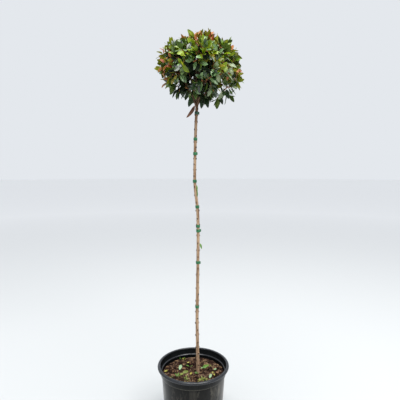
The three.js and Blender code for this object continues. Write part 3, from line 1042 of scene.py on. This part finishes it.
def crown_skeleton(boughs):
    """Every limb and every leafy shoot of the crown."""
    limbs, shoots = [], []
    for k, name in enumerate(MASSES):
        rng = random.Random(SKELETON_SEED + k)
        axis, thickness = boughs[name.replace("leaves_", "bough_")]
        targets = []
        for spot, outward in skin_points(name, SHOOT_SPACING, rng):
            below = max(0.0, -outward[2])
            open_side = 0.12 * below * (outward[0] > 0.3)
            thinned = rng.random() < 0.7 * below + open_side
            if thinned or (below > 0.2 and noise.noise(Vector(spot * 34)) > 0.1):
                continue
            deep = rng.uniform(15, 28) + 8 * (1 - abs(outward[2])) - 5 * abs(outward[0])
            deep += rng.uniform(-6, 14) * below
            targets.append((spot - outward * deep * MM, outward, "outer"))
        for spot, outward in skin_points(name, INNER_SPACING, rng):
            if outward[2] > -0.1:
                targets.append((spot - outward * rng.uniform(42, 58) * MM, outward, "inner"))
        grow(axis[-1], unit(axis[-1] - axis[-3]), targets, thickness, rng, limbs, shoots)
    return limbs, shoots


def flush_of(outward, height, rng):
    """Which young growth a shoot bears, from how high up and how far to the side it grows."""
    right, left = outward[0], -outward[0]
    crest = min(0.7, 5.0 * max(0.0, height - 0.54)) * (1 - 0.4 * max(0.0, right))
    bronze = 0.09 * (height > -0.35) + crest
    bronze += 2.1 * max(0.0, left - 0.6) * (height > -0.3) + 0.9 * max(0.0, right - 0.5) * (height > -0.2)
    olive = 0.04 + 0.8 * max(0.0, right - 0.4) * (height < 0.1)
    fresh = 0.32 + 0.9 * height + 0.7 * max(0.0, abs(right) - 0.45)
    fresh += max(0.0, left - 0.4) * (height < 0)
    roll = rng.random()
    if roll < bronze:
        return "bronze"
    if roll < bronze + olive:
        return "olive"
    return "fresh" if roll < bronze + olive + fresh else "plain"


def leaf_class(kind, flush, order, height, outward, rng):
    """Which coloured piece a leaf belongs to, from its place on the shoot and in the crown. Leaves inside
    the crown, far down a shoot or at middle height take the dark shade colour, as painted shade; high
    leaves and those on the lit lower right take the pale and silvery colours, as painted reflection and
    painted light.
    """
    roll = rng.random()
    # Painted light and shade: the lower right side counts as lit and gets pale, silvery leaves instead of
    # dark shade ones.
    lit_side = max(0.0, outward[0] - 0.25) * (height < 0.1)
    shaded = kind == "inner" or order > 3 or (order == 3 and roll < 0.5 - 0.5 * height)
    if shaded and rng.random() > 1.8 * lit_side:
        return "shade"
    if order <= 1 + (height > 0.45) and flush == "bronze":
        return "red" if roll < 0.35 else "bronze"
    if order <= 2 and flush == "olive" and roll < 0.7:
        return "olive"
    if order <= 2 + (height > 0.4) and flush == "fresh" and roll < 0.8:
        return "fresh" if roll < 0.56 else "mid"
    roll = rng.random()
    pale = 0.38 + 0.45 * height + 1.5 * lit_side
    if roll < pale:
        return "sunlit_pale" if rng.random() < 2.4 * lit_side else "pale"
    if roll < pale + 0.14 + 0.2 * height:
        return "mid"
    return "shade" if rng.random() < 0.45 - abs(height + 0.1) - 2 * lit_side else "deep"


# Pairs of leaves down a shoot, from its tip: the angle off the shoot in degrees, the least and greatest
# length, and the way to the next pair, in millimetres. The last row serves every further pair.
PAIRS = [
    (24, 17, 26, 5.5),
    (40, 25, 34, 8.5),
    (54, 27, 37, 11.0),
    (64, 27, 37, 11.0),
]
LEAFY_LENGTH = {"outer": 66 * MM, "inner": 44 * MM}


def lengths_along(path):
    """How far along its path each point lies."""
    return np.concatenate([[0], np.cumsum(np.linalg.norm(np.diff(path, axis=0), axis=1))])


def point_along(path, lengths, reach):
    return np.array([np.interp(reach, lengths, path[:, k]) for k in range(3)])


def any_way(rng):
    return np.array([rng.uniform(-1, 1) for _ in range(3)])


def paired_leaf(spot, along, side, outward, height, order, rng):
    """One leaf of a pair, and the top of its stalk."""
    angle, least, greatest, _ = PAIRS[min(order, 3)]
    spread = math.radians(angle + rng.uniform(-12, 12))
    droop = (0.10 + 0.07 * order) * rng.random() + max(0.0, 0.2 - height) * rng.uniform(0.0, 0.5)
    forward = along * math.cos(spread) + side * math.sin(spread)
    forward = unit(forward + 0.16 * outward - droop * UP)
    facing = 0.6 * along + 0.9 * outward + 0.3 * UP + 0.4 * any_way(rng)
    length = rng.uniform(least, greatest) * MM
    width = length * rng.uniform(0.46, 0.57)
    foot = spot + forward * rng.uniform(2.5, 4.5) * MM
    fold, curl = rng.uniform(4, 18), rng.uniform(0, 34)
    return leaf_across(forward, facing, foot, length, width, fold, curl, rng.uniform(0, 6)), foot


def dress_shoot(path, outward, kind, rng, leaves, stalks):
    """Opposite pairs of leaves down a shoot, each pair turned a right angle from the last."""
    lengths = lengths_along(path)
    height = (path[-1][2] - CROWN_CENTRE[2]) / CROWN_HALF[2]
    flush = flush_of(outward, height, rng)
    turn = rng.uniform(0, math.pi)
    back, order = 0.5 * MM, 0
    while back < min(lengths[-1], LEAFY_LENGTH[kind]):
        reach = max(lengths[-1] - back, 4.1 * MM)
        spot = point_along(path, lengths, reach)
        along = unit(spot - point_along(path, lengths, reach - 4 * MM))
        side = unit(np.cross(along, [math.cos(turn), math.sin(turn), 0.3]))
        lost = 0.03 if order < 3 else 0.25 + 0.25 * max(0.0, 0.3 - height)
        for sign in (1, -1):
            if rng.random() < lost:
                continue
            leaf, foot = paired_leaf(spot, along, side * sign, outward, height, order, rng)
            leaves[leaf_class(kind, flush, order, height, outward, rng)].append(leaf)
            stalks.append((spot, foot))
        back += PAIRS[min(order, 3)][3] * MM * rng.uniform(0.85, 1.2)
        turn += math.pi / 2 + rng.uniform(-0.2, 0.2)
        order += 1


def dress_wood(path, radius, rng, leaves, stalks, spacing):
    """Scattered old leaves that hang from the wood inside the crown: on its lit right side mostly pale and
    silvery, as painted light, elsewhere mostly the dark shade colour, as painted shade.
    """
    lengths = lengths_along(path)
    along = unit(path[-1] - path[0])
    reach = rng.uniform(4, 14) * MM
    while reach < lengths[-1]:
        spot = point_along(path, lengths, reach)
        turn = rng.uniform(0, 2 * math.pi)
        side = unit(np.cross(along, [math.cos(turn), math.sin(turn), 0.3]))
        forward = unit(side + 0.3 * along - rng.uniform(0.1, 1.2) * UP)
        facing = UP + 0.6 * side + 0.3 * any_way(rng)
        length = rng.uniform(28, 40) * MM
        width = length * rng.uniform(0.46, 0.56)
        foot = spot + forward * (radius + 4 * MM)
        fold, curl = rng.uniform(6, 22), rng.uniform(5, 45)
        leaf = leaf_across(forward, facing, foot, length, width, fold, curl, rng.uniform(0, 6))
        # Painted light and shade: pale colours where the wood lies on the crown's lit right side, dark
        # shade colours elsewhere.
        sunny = (spot[0] - CROWN_CENTRE[0]) / CROWN_HALF[0] > 0.25 and rng.random() < 0.7
        leaves[rng.choice(("sunlit_pale", "pale") if sunny else ("deep", "shade", "shade"))].append(leaf)
        stalks.append((spot, foot))
        reach += spacing * rng.uniform(0.65, 1.4)


# Leaves by colour: three tones, then roughness, specular level and wax of the upper face. The shade tones
# are painted shade for leaves inside the crown, the pale tones a painted reflection of the sky, and the
# silvery tones painted light on the crown's lit lower right.
LEAF_LOOKS = {
    "shade": ((12, 20, 6), (18, 30, 10), (28, 44, 16), 0.5, 0.15, 0.0),
    "deep": ((12, 32, 8), (24, 52, 16), (44, 78, 27), 0.28, 0.4, 1.0),
    "mid": ((54, 84, 8), (78, 112, 10), (102, 136, 18), 0.32, 0.4, 1.0),
    "pale": ((90, 124, 74), (114, 147, 94), (138, 167, 114), 0.38, 0.4, 0.5),
    "sunlit_pale": ((112, 128, 92), (140, 154, 116), (168, 180, 144), 0.4, 0.35, 0.4),
    "olive": ((94, 92, 18), (122, 114, 26), (148, 136, 46), 0.45, 0.25, 0.2),
    "fresh": ((94, 114, 2), (116, 142, 5), (138, 160, 16), 0.42, 0.25, 0.3),
    "bronze": ((126, 70, 26), (160, 92, 40), (184, 118, 64), 0.45, 0.25, 0.2),
    "red": ((136, 56, 30), (166, 80, 50), (190, 116, 92), 0.45, 0.3, 0.3),
}
# Undersides, by piece: three tones, roughness and specular level, and the colours that it serves.
UNDERSIDES = {
    "shaded_leaf_undersides": (((22, 36, 16), (32, 48, 24), (44, 62, 32), 0.6, 0.15), ["shade"]),
    "leaf_undersides": (
        ((62, 84, 30), (82, 104, 40), (104, 124, 54), 0.55, 0.3),
        ["deep", "mid", "pale", "sunlit_pale"],
    ),
    "young_leaf_undersides": (
        ((120, 130, 24), (142, 150, 34), (164, 166, 52), 0.5, 0.3),
        ["fresh", "olive", "bronze", "red"],
    ),
}


def dress_crown(limbs, shoots, boughs):
    """Every leaf by its colour, and the two ends of every leaf stalk."""
    leaves, stalks = {name: [] for name in LEAF_LOOKS}, []
    for k, (path, _, outward, kind) in enumerate(shoots):
        dress_shoot(path, outward, kind, random.Random(LEAF_SEED + k), leaves, stalks)
    for k, (path, thick, _) in enumerate(limbs):
        low = max(0.0, (CROWN_CENTRE[2] - path[-1][2]) / CROWN_HALF[2])
        dress_wood(path, thick, random.Random(k), leaves, stalks, (14 + 20 * low) * MM)
    for k, (axis, thick) in enumerate(boughs.values()):
        dress_wood(axis[len(axis) // 4 :], thick, random.Random(k), leaves, stalks, 9 * MM)
    return leaves, stalks


def make_crown_piece(name, shape, material, slot):
    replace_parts(make_piece(name, *shape, material, slot), *MASSES)


def make_wood(limbs, shoots, stalks):
    """The twigs in one piece, and the leafy shoots with the leaf stalks in another."""
    twigs, young = Soup(), Soup()
    for path, thick, thin in limbs:
        twigs.add(*tube(path, np.linspace(thick, thin, len(path)), TWIG_SIDES))
    for path, thick, _, _ in shoots:
        radii = np.linspace(max(thick, SHOOT_FOOT), SHOOT_TIP, len(path))
        young.add(*tube(path, radii, SHOOT_SIDES))
    for ends in stalks:
        young.add(*stalk(*ends))
    brown = twig_material("young_twig_bark", *TWIG_TONES)
    reddish = twig_material("new_shoot_bark", *SHOOT_TONES)
    make_crown_piece("crown_twigs", twigs.joined(), brown, "young_bark")
    make_crown_piece("leafy_shoots", young.joined(), reddish, "young_bark")


def make_leaves(leaves):
    """The upper faces of the leaves, a piece for each colour, and their undersides."""
    for name, look in LEAF_LOOKS.items():
        material = leaf_material(f"leaf_{name}", *look)
        make_crown_piece(f"leaves_{name}_upper", blades(leaves[name]), material, "foliage")
    for name, (look, colours) in UNDERSIDES.items():
        below = [leaf for colour in colours for leaf in leaves[colour]]
        make_crown_piece(name, blades(below, True), leaf_material(name, *look), "foliage")


def make_crown(boughs):
    limbs, shoots = crown_skeleton(boughs)
    leaves, stalks = dress_crown(limbs, shoots, boughs)
    make_wood(limbs, shoots, stalks)
    make_leaves(leaves)


# ---- stage, lights and camera

CAMERA_PLACE = (0.0237, -1.279, 0.902)
CAMERA_PITCH = math.radians(4.5)
CAMERA_SENSOR = 36.0
CAMERA_LENS = 33.66
FLOOR_REACH = 40.0
FLOOR_SIDES = 96


def make_stage():
    """A plain pale floor that runs to the horizon, a little deeper in tone near the plant."""
    angles = np.linspace(0, 2 * math.pi, FLOOR_SIDES, endpoint=False)
    rim = [FLOOR_REACH * level_direction(a) for a in angles]
    mesh = new_mesh("studio_floor", rim, [range(FLOOR_SIDES)])
    m = Nodes("studio_paper", 0.9, 0.1)
    length = m.add("VectorMath", {0: m.place})
    length.operation = "LENGTH"
    away = m.range(length.outputs["Value"], 0.3, 7.0)
    mesh.materials.append(m.done(m.mix(away, linear(203, 205, 206), linear(249, 249, 249))))
    new_object("studio_floor", mesh)


def soft_light(name, place, target, size, power, colour):
    light = bpy.data.lights.new(name, "AREA")
    light.shape = "DISK"
    light.size = size
    light.energy = power
    light.color = colour
    lamp = new_object(name, light)
    lamp.location = place
    lamp.rotation_euler = (Vector(target) - Vector(place)).to_track_quat("-Z", "Y").to_euler()


def make_lights():
    """An even pale sky, with a broad soft light overhead and a smaller one from the front right."""
    world = bpy.data.worlds.new("studio_world")
    world.use_nodes = True
    background = world.node_tree.nodes["Background"]
    background.inputs["Color"].default_value = linear(228, 232, 237)
    background.inputs["Strength"].default_value = 1.0
    bpy.context.scene.world = world
    soft_light("overhead", (0.2, -0.45, 3.3), (0.02, 0.0, 1.2), 2.6, 95, (1.0, 1.0, 0.97))
    soft_light("key", (1.2, -1.5, 2.5), (0.02, 0.0, 1.0), 0.9, 18, (1.0, 0.98, 0.95))


def make_camera():
    bpy.context.scene.view_settings.view_transform = "Standard"
    data = bpy.data.cameras.new("camera")
    data.sensor_width = CAMERA_SENSOR
    data.lens = CAMERA_LENS
    camera = new_object("camera", data)
    camera.location = CAMERA_PLACE
    camera.rotation_euler = (math.pi / 2 - CAMERA_PITCH, 0, 0)
    bpy.context.scene.camera = camera


# ---- the whole plant

make_camera()
make_stage()
make_lights()
make_pot()
stem, boughs = make_stem()
make_ties(stem)
make_soil(stem[0])
make_litter(stem[0])
make_hung_leaves(stem)
make_crown(boughs)

bpy.context.view_layer.update()
